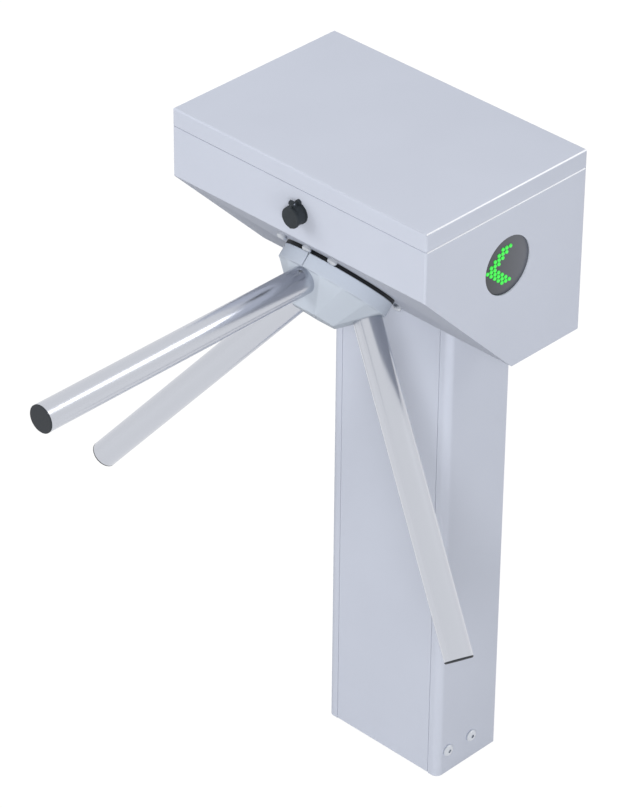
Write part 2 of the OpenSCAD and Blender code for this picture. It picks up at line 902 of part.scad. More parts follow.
module main_shaft() {
    r = shaft_d / 2;
    color(steel_colour) on_slant() difference() {
        rotate_extrude($fn = big_fn) polygon([[0, z_nose_end], [thread_r - shaft_chamfer, z_nose_end],
            [thread_r, z_nose_end + shaft_chamfer], [thread_r, z_gear_end], [nose_r, z_gear_end],
            [nose_r, z_rb_end + nose_step], [r, z_rb_end + nose_step], [r, zp], [shoulder_r, zp],
            [shoulder_r, hub_z], [r, hub_z], [r, z_shaft_end], [0, z_shaft_end]]);
        rod(tap_r, z_shaft_end - tap_l, z_shaft_end + cut, small_fn);
        block(-key_w / 2, key_w / 2, r - key_sink, r + cut, hub_z + key_margin, z_shaft_end - key_margin);
        block(-rear_key_w / 2, rear_key_w / 2, nose_r - rear_key_sink, nose_r + cut, z_gear_end,
            z_rb_end - rear_key_gap);
    }
}

module shaft_keys() {
    r = shaft_d / 2;
    color(bronze_colour) on_slant() {
        block(-key_w / 2, key_w / 2, r - key_sink, r - key_sink + key_h, hub_z + key_margin,
            z_shaft_end - key_margin);
        block(-rear_key_w / 2, rear_key_w / 2, nose_r - rear_key_sink,
            nose_r - rear_key_sink + rear_key_h,
            z_gear_end, z_rb_end - rear_key_gap);
    }
}

function polar(r, a) = [r * cos(a), r * sin(a)];

module hub() {
    r = shaft_d / 2;
    rim = [for (i = [0 : 2], s = [-1, 1],
        k = [0, 1]) let (a = k == 0 ? arm_angles[i] + s * socket_half_ang
        : gap_angles[i] + s * flat_half_ang) polar(hub_r - rim_inset, a)];
    cap = [for (i = [0 : 2], s = [-1, 1]) polar(cap_corner_r, arm_angles[i] + s * cap_half_ang)];
    color(paint_colour) on_slant() difference() {
        union() {
            rod(hub_r, hub_z, hub_rim_h, big_fn);
            hull() {
                translate([0, 0, hub_rim_h - rim_slab]) linear_extrude(rim_slab) polygon(sort_ring(rim));
                translate([0, 0, hub_cap_h - cap_lip]) linear_extrude(cap_lip) polygon(sort_ring(cap));
            }
        }
        rod(r, hub_z - cut, z_shaft_end + cut, big_fn);
        rod(recess_r, z_shaft_end, hub_cap_h + cut);
        block(-key_w / 2, key_w / 2, 0, r - key_sink + key_h + key_top, hub_z - cut, z_shaft_end);
        for (a = arm_angles) {
            translate([0, 0, -apex_depth]) rotate([0, 0, a]) rotate([0, arm_tilt, 0]) {
                rod(arm_r, socket_s, socket_s + arm_d + hub_r);
                rod(stud_r, stud_s, socket_s + cut, small_fn);
            }
            rotate([0, 0, a])
                block(hub_r - groove_d, hub_r + cut, -groove_w / 2, groove_w / 2, hub_z - cut,
                    hub_rim_h - groove_d);
        }
        for (a = gap_angles) rotate([0, 0, a]) translate([bp_screw_r, 0, 0])
            rod(m5_r, hub_z - cut, hub_z + m5_deep, small_fn);
    }
}

// points of a ring in the order of their angle
function sort_ring(p) = let (a = [for (q = p) (atan2(q[1], q[0]) + 360) % 360]) [for (k = ranks(a)) p[k]];
function ranks(a) = [for (n = [0 : len(a) - 1]) [for (i = [0 : len(a) - 1]) if (below(a, i) == n) i][0]];
function below(a, i) = len([for (v = a) if (v < a[i]) 1]);

module hub_backplate() {
    color(plastic_colour) on_slant() difference() {
        rod(hub_r, hub_gap, hub_z, big_fn);
        rod(backplate_bore, hub_gap - cut, hub_z + cut);
        for (a = gap_angles) rotate([0, 0, a]) translate([bp_screw_r, 0, 0]) {
            rod(m5_r + m5_fit, hub_gap - cut, hub_z + cut, small_fn);
            rod(m5_head_r + m5_fit, hub_gap - cut, hub_z - (backplate_t - m5_head_h) / 2, small_fn);
        }
    }
}

module backplate_screws() {
    z = hub_z - (backplate_t - m5_head_h) / 2;
    color(steel_colour) on_slant() for (a = gap_angles) rotate([0, 0, a]) translate([bp_screw_r, 0, 0]) {
        rod(m5_head_r, z - m5_head_h, z, small_fn);
        rod(m5_r, z - eps, hub_z + m5_deep, small_fn);
    }
}

module hub_retaining_screw() {
    color(steel_colour) on_slant() {
        rod(tap_r, z_shaft_end - tap_l, z_shaft_end + washer_t, small_fn);
        rod(washer_r, z_shaft_end, z_shaft_end + washer_t);
        difference() {
            rod(cap_screw_r, z_shaft_end + washer_t, z_shaft_end + washer_t + cap_screw_h, mid_fn);
            translate([0, 0, z_shaft_end + washer_t + cap_screw_h / 2])
                cylinder(d = cap_screw_r, h = cap_screw_h, $fn = hex_fn);
        }
    }
}

module hub_cap_plug() {
    color(paint_colour) on_slant() rod(recess_r, hub_cap_h - cap_plug_t, hub_cap_h);
}

module arm_tube() {
    difference() {
        ring(arm_r, arm_in, socket_s, tube_end, big_fn);
        rotate([0, 0, lock_screw_turn]) translate([0, 0, lock_screw_s]) rotate([0, 90, 0])
            rod(lock_screw_hole, lock_screw_low, arm_r + cut, small_fn);
    }
}

module arm_tube_front() {
    color(steel_colour) on_arm(arm_angles[0]) arm_tube();
}

module arm_tube_left() {
    color(steel_colour) on_arm(arm_angles[1]) arm_tube();
}

module arm_tube_right() {
    color(steel_colour) on_arm(arm_angles[2]) arm_tube();
}

module arm_spigots() {
    color(zinc_colour) for (a = arm_angles) on_arm(a) difference() {
        union() {
            rod(arm_in, socket_s, spigot_end);
            rod(stud_r, stud_s, socket_s + cut, small_fn);
        }
        rotate([0, 0, lock_screw_turn]) translate([0, 0, lock_screw_s]) rotate([0, 90, 0])
            rod(lock_screw_r, lock_screw_low, arm_r, small_fn);
    }
}

module arm_lock_screws() {
    color(plastic_colour) for (a = arm_angles) on_arm(a) rotate([0, 0, lock_screw_turn])
        translate([0, 0, lock_screw_s]) rotate([0, 90, 0])
            rod(lock_screw_r, lock_screw_low, arm_r - lock_screw_sink, small_fn);
}

module arm_end_plugs() {
    color(plastic_colour) for (a = arm_angles) on_arm(a) {
        rod(arm_in, tube_end - plug_in, tube_end, mid_fn);
        rotate_extrude($fn = big_fn)
            polygon([[0, tube_end], [arm_r, tube_end], [arm_r, arm_reach - plug_edge],
            [arm_r - plug_edge, arm_reach], [0, arm_reach]]);
    }
}

module disc_bore(z0, z1) {
    rod(nose_r, z0 - cut, z1 + cut);
    block(-rear_key_w / 2, rear_key_w / 2, 0, nose_r - rear_key_sink + rear_key_h + key_top, z0 - cut,
        z1 + cut);
}

module index_disc() {
    color(bronze_colour) on_slant() difference() {
        union() {
            rod(boss_r, z_disc - cut, z_rb_end);
            rod(index_r, z_disc_end, z_disc, big_fn);
        }
        disc_bore(z_disc_end, z_rb_end);
        for (i = [0 : notch_count - 1]) rotate([0, 0, i * 360 / notch_count])
            block(index_r - notch_depth, index_r + cut, -notch_w / 2, notch_w / 2,
                z_disc_end - cut, z_disc + cut);
    }
}

// involute flank point at roll angle t on base radius rb
function flank(rb, t) = let (q = t * PI / 180) [rb * (cos(t) + q * sin(t)), rb * (sin(t) - q * cos(t))];
function turned(p, a) = [p[0] * cos(a) - p[1] * sin(a), p[0] * sin(a) + p[1] * cos(a)];
function flipped(p) = [p[0], -p[1]];

module gear_outline(teeth) {
    rp = gear_module * teeth / 2;
    rb = rp * cos(pressure_angle);
    ra = rp + gear_module - tip_relief;
    rf = rp - gear_module * root_share;
    roll_max = sqrt(pow(ra / rb, 2) - 1) * 180 / PI;
    roll_min = rf > rb ? sqrt(pow(rf / rb, 2) - 1) * 180 / PI : 0;
    inv = tan(pressure_angle) * 180 / PI - pressure_angle;
    half_tooth = 90 / teeth - backlash / 2 / rp * 180 / PI + inv;
    low = [for (k = [0 : flank_points]) turned(flank(rb,
        roll_min + (roll_max - roll_min) * k / flank_points), -half_tooth)];
    high = [for (k = [flank_points : -1 : 0]) flipped(turned(flank(rb,
        roll_min + (roll_max - roll_min) * k / flank_points), -half_tooth))];
    root_a = atan2(low[0][1], low[0][0]);
    polygon([for (i = [0 : teeth - 1], p = concat([polar(rf, root_a)], low, high, [polar(rf, -root_a)]))
        turned(p, i * 360 / teeth)]);
}

module drive_gear() {
    color(steel_colour) on_slant() difference() {
        union() {
            rod(boss_r, z_gear - cut, z_disc_end);
            translate([0, 0, z_gear_end]) linear_extrude(gear_t) gear_outline(gear_teeth);
        }
        disc_bore(z_gear_end, z_disc_end);
    }
}

module shaft_nut() {
    color(steel_colour) on_slant() difference() {
        translate([0, 0, z_nut_end]) cylinder(r = nut_r, h = nut_l, $fn = hex_fn);
        rod(thread_r, z_nut_end - cut, z_gear_end + cut);
    }
}

module motor_screw_places() {
    for (x = [-motor_hole, motor_hole], y = [-motor_hole, motor_hole]) translate([x - motor_off, y, 0])
        children();
}

// motor with its four through screws
module drive_motor() {
    color(plastic_colour) on_slant() {
        difference() {
            union() {
                translate([-motor_off, 0, z_motor_end]) linear_extrude(zp - z_motor_end)
                    round_rect(-motor_w / 2, motor_w / 2, -motor_w / 2, motor_w / 2, motor_corner);
                translate([-motor_off, 0, 0])
                    rod(motor_boss_r, z_motor_end - motor_boss_h, z_motor_end + cut);
                motor_screw_places() rod(m3_head_r, z_motor_end - m3_head_h, z_motor_end, small_fn);
            }
            translate([-motor_off, 0, 0])
                rod(motor_shaft_r + run_fit, z_motor_end - motor_boss_h - cut, z_motor_end + motor_w / 2);
        }
        motor_screw_places() rod(m3_r, zp - cut, zp + m6_depth, small_fn);
    }
}

// pinion and the motor shaft that carries it
module motor_pinion() {
    color(steel_colour) on_slant() translate([-motor_off, 0, 0]) {
        translate([0, 0, z_gear_end]) linear_extrude(gear_t) rotate([0, 0, 180 / pinion_teeth])
            gear_outline(pinion_teeth);
        rod(motor_shaft_r, z_gear_end - pinion_tail, z_motor_end + motor_w / 2 - motor_boss_h);
    }
}

// frames of the two pawls, mirrored about the plane of symmetry
module pawl_sides() {
    upper_side() children();
    lower_side() children();
}

module upper_side() {
    rotate([0, 0, pawl_frame_turn]) children();
}

module lower_side() {
    mirror([0, 1, 0]) rotate([0, 0, pawl_frame_turn]) children();
}

module pawl_pivots() {
    z_end = pawl_z0 - clip_gap - clip_t - pin_over;
    color(steel_colour) on_slant() pawl_sides() translate([pawl_x, pawl_y, 0]) {
        rod(post_r, pawl_z1 + clip_gap, zp);
        rod(pawl_pin_r, z_end, zp + post_stub, small_fn);
        ring(clip_r, pawl_pin_r, pawl_z0 - clip_gap - clip_t, pawl_z0 - clip_gap, small_fn);
    }
}

module pawl() {
    x0 = pawl_x + tooth_gap;
    translate([0, 0, pawl_z0]) linear_extrude(pawl_z1 - pawl_z0) difference() {
        union() {
            polygon([[x0, -tooth_half], [x0 + pawl_back, -tooth_half], [pawl_x + pawl_eye_r, pawl_y],
                [pawl_x - pawl_eye_r / 2, pawl_y], [x0 + tooth_l, pawl_knee], [x0 + tooth_l, tooth_half],
                    [x0, tooth_half]]);
            translate([pawl_x, pawl_y]) circle(r = pawl_eye_r, $fn = mid_fn);
            translate([pawl_x - tail_half, pawl_y]) square([2 * tail_half, tail_h]);
        }
        translate([pawl_x, pawl_y]) circle(r = pawl_pin_r + run_fit, $fn = small_fn);
    }
}

module upper_pawl() {
    color(steel_colour) on_slant() upper_side() pawl();
}

module lower_pawl() {
    color(steel_colour) on_slant() lower_side() pawl();
}

// places children on the axis of a plunger, its tip end up, height 0 at the tip
module plunger_axis() {
    translate([pawl_x - tail_half - plunger_tip_gap, pawl_y + plunger_y, disc_mid]) rotate([0, 90, 0])
        children();
}

module solenoid() {
    z1 = -solenoid_out;
    z0 = z1 - solenoid_l;
    difference() {
        plunger_axis() block(-solenoid_h / 2, solenoid_h / 2, -solenoid_w / 2, solenoid_w / 2, z0, z1);
        plunger_axis() rod(plunger_r + run_fit, z0 - cut, z1 + cut);
        plunger_axis() rod(coil_r, z0 - cut, z1 - coil_wall);
    }
    translate([pawl_x - tail_half - plunger_tip_gap, pawl_y + plunger_y + solenoid_w / 2, 0]) {
        block(z0, z1, 0, bracket_t, disc_mid - solenoid_h / 2, zp);
        block(z0, z1, 0, bracket_foot, zp - bracket_t, zp);
    }
}

module pawl_solenoids() {
    color(zinc_colour) on_slant() pawl_sides() solenoid();
}

module plunger() {
    z0 = -solenoid_out - solenoid_l;
    plunger_axis() {
        rotate_extrude($fn = mid_fn)
            polygon([[0, z0], [plunger_head_r, z0], [plunger_head_r, z0 + plunger_head_l],
            [plunger_r, z0 + plunger_head_l], [plunger_r, -plunger_r], [0, -plunger_r]]);
        translate([0, 0, -plunger_r]) sphere(r = plunger_r, $fn = mid_fn);
    }
}

module upper_plunger() {
    color(steel_colour) on_slant() upper_side() plunger();
}

module lower_plunger() {
    color(steel_colour) on_slant() lower_side() plunger();
}

// return springs of the plungers at their compressed length
module pawl_springs() {
    z1 = -solenoid_out - coil_wall;
    color(steel_colour) on_slant() pawl_sides() plunger_axis() rotate_extrude($fn = mid_fn) {
        for (k = [0 : spring_turns - 1]) translate([spring_r, z1 - spring_wire * (1 + 2 * k)])
            circle(r = spring_wire, $fn = small_fn);
        translate([spring_r - spring_wire / 2, z1 - spring_wire * 2 * spring_turns + spring_wire])
            square([spring_wire, spring_wire * (2 * spring_turns - 1)]);
    }
}

// slotted sensor that straddles the rim of the index disc
module position_sensor() {
    y1 = -index_r;
    color(plastic_colour) on_slant() rotate([0, 0, sensor_turn]) {
        block(-sensor_w / 2, sensor_w / 2, y1 - sensor_gap - sensor_t, y1 - sensor_gap,
            z_disc_end - sensor_t / 2, zp);
        block(-sensor_w / 2, sensor_w / 2, y1 - sensor_gap - sensor_foot, y1 - sensor_gap,
            zp - bracket_t, zp);
        block(-sensor_blade_half, sensor_blade_half, y1 - sensor_gap - cut, y1 + sensor_head,
            z_disc + sensor_blade_gap, z_disc + sensor_blade_gap + sensor_blade_t);
    }
}

module board_corner_places() {
    for (x = [-board_w / 2 + standoff_in, board_w / 2 - standoff_in],
        z = [board_z + standoff_in, board_z + board_h - standoff_in]) translate([x, 0, z]) children();
}

module control_board() {
    y1 = in_back - board_off;
    color(board_colour) {
        block(-board_w / 2, board_w / 2, y1 - board_t, y1, board_z, board_z + board_h);
        for (s = board_part_shares)
            block(-board_w / 2 + s[0] * board_w, -board_w / 2 + (s[0] + s[2]) * board_w,
            y1 - board_t - s[4] * board_h, y1 - board_t, board_z + s[1] * board_h,
                board_z + (s[1] + s[3]) * board_h);
    }
}

module board_standoffs() {
    color(bronze_colour) board_corner_places() back_axis(0, in_back - board_off, 0)
        rod(standoff_r, 0, board_off, small_fn);
}

module power_supply() {
    x0 = -in_x + supply_gap;
    y1 = in_back - supply_foot;
    color(zinc_colour) {
        block(x0, x0 + supply_w, y1 - supply_d, y1, in_floor + supply_foot,
            in_floor + supply_foot + supply_h);
        for (y = [y1 - supply_d, y1 - supply_gap])
            block(x0, x0 + supply_w, y, y + supply_gap, in_floor, in_floor + supply_foot);
    }
}

module led_places() {
    for (i = [-led_steps : led_steps], j = [0 : led_row_len - 1])
        translate([0, led_y0 + led_cols * (abs(i) + j), led_z0 + led_rows * i]) children();
}

// both indicator windows, the right one drawn and mirrored
module led_windows() {
    color(plastic_colour) for (s = [0, 1]) mirror([s, 0, 0]) translate([in_x, window_y, window_z]) {
        rotate([0, 90, 0]) ring(window_r + window_rim, window_r, -window_ring, 0, big_fn);
        difference() {
            rotate([0, 90, 0]) rod(window_r + window_rim, -window_ring - window_t, -window_ring, big_fn);
            led_places() rotate([0, 90, 0])
                rod(led_r + led_fit, -window_ring - window_t - cut, -window_ring + cut, small_fn);
        }
    }
}

module led_boards() {
    zb = -window_ring - window_t - led_board_gap;
    color(board_colour) for (s = [0, 1]) mirror([s, 0, 0]) translate([in_x, window_y, window_z]) {
        rotate([0, 90, 0]) rod(window_r + window_rim, zb - led_board_t, zb, big_fn);
        for (a = [0 : 90 : 270]) rotate([a, 0, 0]) translate([0, 0, led_post_off]) rotate([0, 90, 0])
            rod(led_post_r, zb - eps, -window_ring - window_t, small_fn);
        color(led_colour) led_places() rotate([0, 90, 0]) {
            rod(led_r, zb - eps, -window_ring, small_fn);
            translate([0, 0, -window_ring])
                cylinder(r1 = led_r, r2 = led_tip_r, h = led_tip, $fn = small_fn);
        }
    }
}

// lock body with its flange, threaded barrel, cap stop and the cheeks of the dust cap hinge
module lock_housing() {
    y0 = front_y - lock_l;
    hy = y0 + cap_hinge_in;
    hz = lock_z + cap_hinge_z;
    color(plastic_colour) difference() {
        union() {
            back_axis(lock_x, y0, lock_z) rod(lock_body_r, 0, lock_l, big_fn);
            back_axis(lock_x, front_y - lock_flange_t, lock_z) rod(lock_r, 0, lock_flange_t, big_fn);
            back_axis(lock_x, front_y - stop_t, lock_z + stop_z) rod(stop_r, 0, stop_t);
            back_axis(lock_x, front_y, lock_z) rod(barrel_r, -cut, barrel_l);
            for (s = [-1, 1]) {
                x0 = s > 0 ? lock_x + cap_ear_half + cheek_gap
                    : lock_x - cap_ear_half - cheek_gap - cheek_w;
                right_axis(x0, hy, hz) rod(cheek_r, 0, cheek_w, mid_fn);
                block(x0, x0 + cheek_w, y0, hy + cheek_r, lock_z + cheek_low, hz);
            }
        }
        back_axis(lock_x, y0, lock_z) rod(plug_r + run_fit, -cut, lock_l + barrel_l + cut);
        right_axis(lock_x, hy, hz) rod(cap_pin_r, -lock_r, lock_r, small_fn);
    }
}

module lock_nut() {
    color(steel_colour) back_axis(lock_x, in_front, lock_z) difference() {
        cylinder(r = lock_nut_r, h = lock_nut_t, $fn = hex_fn);
        rod(barrel_r, -cut, lock_nut_t + cut);
    }
}

module lock_plug() {
    back_end = lock_l + barrel_l + cam_gap;
    color(steel_colour) back_axis(lock_x, front_y - lock_l, lock_z) difference() {
        union() {
            rod(plug_r, plug_recess, back_end);
            rod(plug_neck_r, back_end - cut, back_end + cam_t);
        }
        block(-key_slot_w / 2, key_slot_w / 2, -key_slot_h / 2, key_slot_h / 2, 0, key_slot_d);
        rod(cam_screw_shank, back_end + cam_t - cam_screw_l, back_end + cam_t + cut, small_fn);
    }
}

// cam that stands up when unlocked, with its screw
module lock_cam() {
    y0 = front_y + barrel_l + cam_gap;
    color(zinc_colour) {
        difference() {
            union() {
                back_axis(lock_x, y0, lock_z) rod(cam_half, 0, cam_t);
                block(lock_x - cam_half, lock_x + cam_half, y0, y0 + cam_t, lock_z, lock_z + cam_l);
            }
            back_axis(lock_x, y0, lock_z) rod(plug_neck_r, -cut, cam_t + cut);
        }
        back_axis(lock_x, y0 + cam_t, lock_z) {
            rod(cam_screw_r, 0, cam_screw_h, small_fn);
            rod(cam_screw_shank, -cam_screw_l, eps, small_fn);
        }
    }
}

// round cap with a bevelled front edge, an arm up to the hinge and a small lip below
module dust_cap() {
    y1 = front_y - lock_l - cap_rest;
    hy = front_y - lock_l + cap_hinge_in;
    hz = lock_z + cap_hinge_z;
    zc = lock_z - cap_drop;
    color(plastic_colour) difference() {
        union() {
            back_axis(lock_x, y1 - cap_t, zc) rotate_extrude($fn = big_fn)
                polygon([[0, 0], [cap_r - cap_edge, 0], [cap_r, cap_edge], [cap_r, cap_t], [0, cap_t]]);
            back_axis(lock_x, y1 - cap_t + cap_edge, zc - cap_r + cap_lip_r - cap_lip_h)
                rod(cap_lip_r, 0, cap_t - cap_edge);
            block(lock_x - cap_ear_half, lock_x + cap_ear_half, hy - cap_ear_r, hy - cap_ear_r + cap_arm_t,
                zc + cap_r / 2, hz);
            right_axis(lock_x, hy, hz) rod(cap_ear_r, -cap_ear_half, cap_ear_half, mid_fn);
        }
        right_axis(lock_x, hy, hz) rod(cap_pin_r + run_fit, -lock_r, lock_r, small_fn);
    }
}

module dust_cap_pin() {
    w = cap_ear_half + cheek_gap + cheek_w;
    color(steel_colour) right_axis(lock_x, front_y - lock_l + cap_hinge_in, lock_z + cap_hinge_z)
        rod(cap_pin_r, -w, w, small_fn);
}

post_shell();
post_front_panel();
panel_hooks();
foot_plate();
foot_cleats();
foot_side_bolts();
post_top_plate();
post_top_bolts();
housing_shell();
lid_upstand();
lid_seal();
cable_grommet();
lid();
lid_catch();
lid_hinge_leaves();
body_hinge_leaves();
hinge_pins();
mechanism_plate();
flange_bolts();
bearing_housing();
bearing_housing_bolts();
main_bearings();
bearing_circlip();
main_shaft();
shaft_keys();
hub();
hub_backplate();
backplate_screws();
hub_retaining_screw();
hub_cap_plug();
arm_tube_front();
arm_tube_left();
arm_tube_right();
arm_spigots();
arm_lock_screws();
arm_end_plugs();
index_disc();
drive_gear();
shaft_nut();
drive_motor();
motor_pinion();
pawl_pivots();
upper_pawl();
lower_pawl();
pawl_solenoids();
upper_plunger();
lower_plunger();
pawl_springs();
position_sensor();
control_board();
board_standoffs();
power_supply();
led_windows();
led_boards();
lock_housing();
lock_nut();
lock_plug();
lock_cam();
dust_cap();
dust_cap_pin();
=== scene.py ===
from math import radians, cos, sin
import bpy
from mathutils import Matrix, Vector


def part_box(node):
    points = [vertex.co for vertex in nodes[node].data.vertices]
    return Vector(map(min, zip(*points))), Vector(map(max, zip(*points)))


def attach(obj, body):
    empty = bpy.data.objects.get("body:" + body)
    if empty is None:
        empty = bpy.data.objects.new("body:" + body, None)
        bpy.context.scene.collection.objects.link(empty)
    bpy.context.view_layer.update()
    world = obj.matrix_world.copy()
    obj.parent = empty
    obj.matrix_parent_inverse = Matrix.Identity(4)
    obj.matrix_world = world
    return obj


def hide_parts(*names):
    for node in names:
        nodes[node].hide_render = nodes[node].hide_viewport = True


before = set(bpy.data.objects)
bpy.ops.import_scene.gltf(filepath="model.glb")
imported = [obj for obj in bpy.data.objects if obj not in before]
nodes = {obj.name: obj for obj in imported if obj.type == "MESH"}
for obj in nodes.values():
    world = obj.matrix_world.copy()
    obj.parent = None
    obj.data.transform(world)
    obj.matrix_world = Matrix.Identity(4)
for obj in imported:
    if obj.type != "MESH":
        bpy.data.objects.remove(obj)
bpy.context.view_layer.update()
mm = 0.001
print("frame loaded:", len(nodes), "nodes")

# camera first: the viewing angle of the photograph, fitted on the housing corners
cameraSetup = {
    "place": (3.0722, -3.3738, 3.5658),
    "azimuth": 44.15,
    "elevation": 33.55,
    "roll": 0.50,
    "lens": 183.4,
    "sensor": 36,
    "reach": 50,
}


def placeCamera(setup):
    data = bpy.data.cameras.new("gateCamera")
    data.lens = setup["lens"]
    data.sensor_width = setup["sensor"]
    data.clip_end = setup["reach"]
    camera = bpy.data.objects.new("gateCamera", data)
    bpy.context.collection.objects.link(camera)
    turn = Matrix.Rotation(radians(setup["azimuth"]), 4, "Z")
    tilt = Matrix.Rotation(radians(90 - setup["elevation"]), 4, "X")
    roll = Matrix.Rotation(radians(setup["roll"]), 4, "Z")
    camera.matrix_world = Matrix.Translation(setup["place"]) @ turn @ tilt @ roll
    bpy.context.scene.camera = camera


placeCamera(cameraSetup)

white = (1, 1, 1, 1)


def toLinear(code):  # sRGB hex to linear RGBA
    parts = [int(code[i:i + 2], 16) / 255 for i in (1, 3, 5)]
    return tuple(p / 12.92 if p <= 0.04045 else ((p + 0.055) / 1.055) ** 2.4 for p in parts) + (1.0,)


def addNode(tree, kind, settings=None, links=None):
    node = tree.nodes.new(kind)
    for key, value in (settings or {}).items():
        if key in node.inputs:
            node.inputs[key].default_value = value
        else:
            setattr(node, key, value)
    for key, socket in (links or {}).items():
        tree.links.new(socket, node.inputs[key])
    return node


# grain, depth and drift are real sizes in mm: of the noise, its relief and the slow change of tone
finishes = {
    # powder-coated sheet: satin, with a fine orange peel that softens the highlight
    "paintedSheet": {"name": "powder_coated_sheet_steel", "colour": "#C6CCD9", "roughness": 0.6,
        "level": 0.015, "grain": 1.6, "depth": 0.012, "drift": 160, "low": "#C5CAD7", "high": "#C8CDDA"},
    # painted highlight: the same coat drawn paler and smoother along the folded edges that catch the light
    "edgeHighlightPaint": {"name": "powder_coat_painted_edge_highlight", "colour": "#F4F6FB", "roughness": 0.3,
        "grain": 14.0, "depth": 0.01},
    # wet-painted casting: a little glossier, with the coarser skin of the casting under it; its rim is
    # given a painted shade
    "castPaint": {"name": "painted_aluminium_casting", "colour": "#BDC5D0", "roughness": 0.55,
        "level": 0.03, "grain": 2.2, "depth": 0.02, "drift": 60, "low": "#BBC3CE", "high": "#BFC7D2",
        "rim": "#F2F2F4", "axis": (0, -0.7071, -0.7071), "rimShadeEnd": -447.6, "capStart": -444.6},
    # polished stainless tube: clear streaks of light, whose edges waver a little where it was ground
    "stainless": {"name": "polished_stainless_steel", "colour": "#C7CAD2", "roughness": 0.24,
        "metallic": 1.0, "grain": 22.0, "depth": 0.05},
    # satin zinc on the outside bolts: pale metal without a mirror
    "satinZinc": {"name": "satin_zinc_plate", "colour": "#CDD1D8", "roughness": 0.45, "metallic": 1.0,
        "grain": 1.2, "depth": 0.006},
    # turned steel: dull grey metal with fine tool marks
    "steel": {"name": "turned_carbon_steel", "colour": "#A9ABAD", "roughness": 0.3, "metallic": 1.0,
        "grain": 0.5, "depth": 0.004},
    # zinc plate: pale metal with a cloudy spangle
    "zinc": {"name": "zinc_plated_steel", "colour": "#B4B6B4", "roughness": 0.36, "metallic": 1.0,
        "grain": 7.0, "depth": 0.004, "drift": 18, "low": "#A9ACAC", "high": "#BFBFB9"},
    # machined bronze: warm metal
    "bronze": {"name": "machined_bronze", "colour": "#A98B5A", "roughness": 0.34, "metallic": 1.0,
        "grain": 0.6, "depth": 0.004},
    # aluminium sheet case, with its rolling marks along one way
    "alloy": {"name": "mill_finish_aluminium", "colour": "#C4C6C8", "roughness": 0.33, "metallic": 1.0,
        "grain": 0.8, "depth": 0.003, "stretch": (1, 8, 1)},
    # moulded nylon: nearly black, spark-eroded skin
    "nylon": {"name": "moulded_black_nylon", "colour": "#36393D", "roughness": 0.6, "level": 0.2,
        "grain": 0.8, "depth": 0.02},
    # black enamel on die-cast zinc: a soft sheen
    "enamel": {"name": "black_enamelled_zinc", "colour": "#2C3135", "roughness": 0.5, "level": 0.2,
        "grain": 1.2, "depth": 0.008, "drift": 9, "low": "#292E32", "high": "#30353A"},
    # black lacquer on the motor's casing and the hub's back plate, whose near-black also paints the shade
    # in the gap behind the hub
    "lacquer": {"name": "black_lacquered_steel_and_painted_gap_shade", "colour": "#17191C", "roughness": 0.5, "level": 0.15,
        "grain": 1.0, "depth": 0.01},
    # extruded rubber: dull black
    "rubber": {"name": "extruded_rubber", "colour": "#202122", "roughness": 0.75,
        "grain": 1.5, "depth": 0.03},
    # circuit board: green lacquer over the copper tracks
    "board": {"name": "lacquered_circuit_board", "colour": "#1F5A3A", "roughness": 0.28, "grain": 2.5,
        "depth": 0.03, "stretch": (1, 1, 6), "drift": 12, "low": "#1B5033", "high": "#246544"},
    # smoked acrylic: dark grey, with a painted reflection that makes it paler towards its back edge
    "acrylic": {"name": "smoked_acrylic_with_painted_reflection", "colour": "#4A4C50", "roughness": 0.25, "index": 1.49,
        "grain": 20.0, "depth": 0.002, "frontEdge": -126, "backEdge": -44,
        "low": "#35383D", "high": "#5F626B"},
    # lit diode lens: clear green epoxy that glows
    "lamp": {"name": "lit_green_epoxy", "colour": "#3FD24B", "roughness": 0.25, "index": 1.5, "glow": 0.42,
        "grain": 1.2, "depth": 0.004},
}
# how the noise of all finishes is laid, and where in it the tone changes
noiseSetup = {"detail": 3.0, "relief": 0.6, "driftDetail": 2.0, "driftFrom": 0.3, "driftTo": 0.7}


# bump and tone from noise on Object coordinates
def addGrain(tree, shader, finish):
    place = addNode(tree, "ShaderNodeTexCoord")
    scaled = addNode(tree, "ShaderNodeMapping", {"Scale": finish.get("stretch", (1, 1, 1))},
        {"Vector": place.outputs["Object"]})
    noise = addNode(tree, "ShaderNodeTexNoise",
        {"Scale": 1 / (finish["grain"] * mm), "Detail": noiseSetup["detail"]},
        {"Vector": scaled.outputs["Vector"]})
    bump = addNode(tree, "ShaderNodeBump",
        {"Strength": noiseSetup["relief"], "Distance": finish["depth"] * mm},
        {"Height": noise.outputs["Fac"]})
    tree.links.new(bump.outputs["Normal"], shader.inputs["Normal"])
    if "drift" in finish:
        wide = addNode(tree, "ShaderNodeTexNoise",
            {"Scale": 1 / (finish["drift"] * mm), "Detail": noiseSetup["driftDetail"]},
            {"Vector": place.outputs["Object"]})
        ramp = addRamp(tree, wide.outputs["Fac"], toLinear(finish["low"]), toLinear(finish["high"]))
        ramp.color_ramp.elements[0].position = noiseSetup["driftFrom"]
        ramp.color_ramp.elements[1].position = noiseSetup["driftTo"]
        tree.links.new(ramp.outputs["Color"], shader.inputs["Base Color"])


def addRamp(tree, source, first, second):
    ramp = addNode(tree, "ShaderNodeValToRGB", {}, {"Fac": source})
    ramp.color_ramp.elements[0].color = first
    ramp.color_ramp.elements[1].color = second
    return ramp
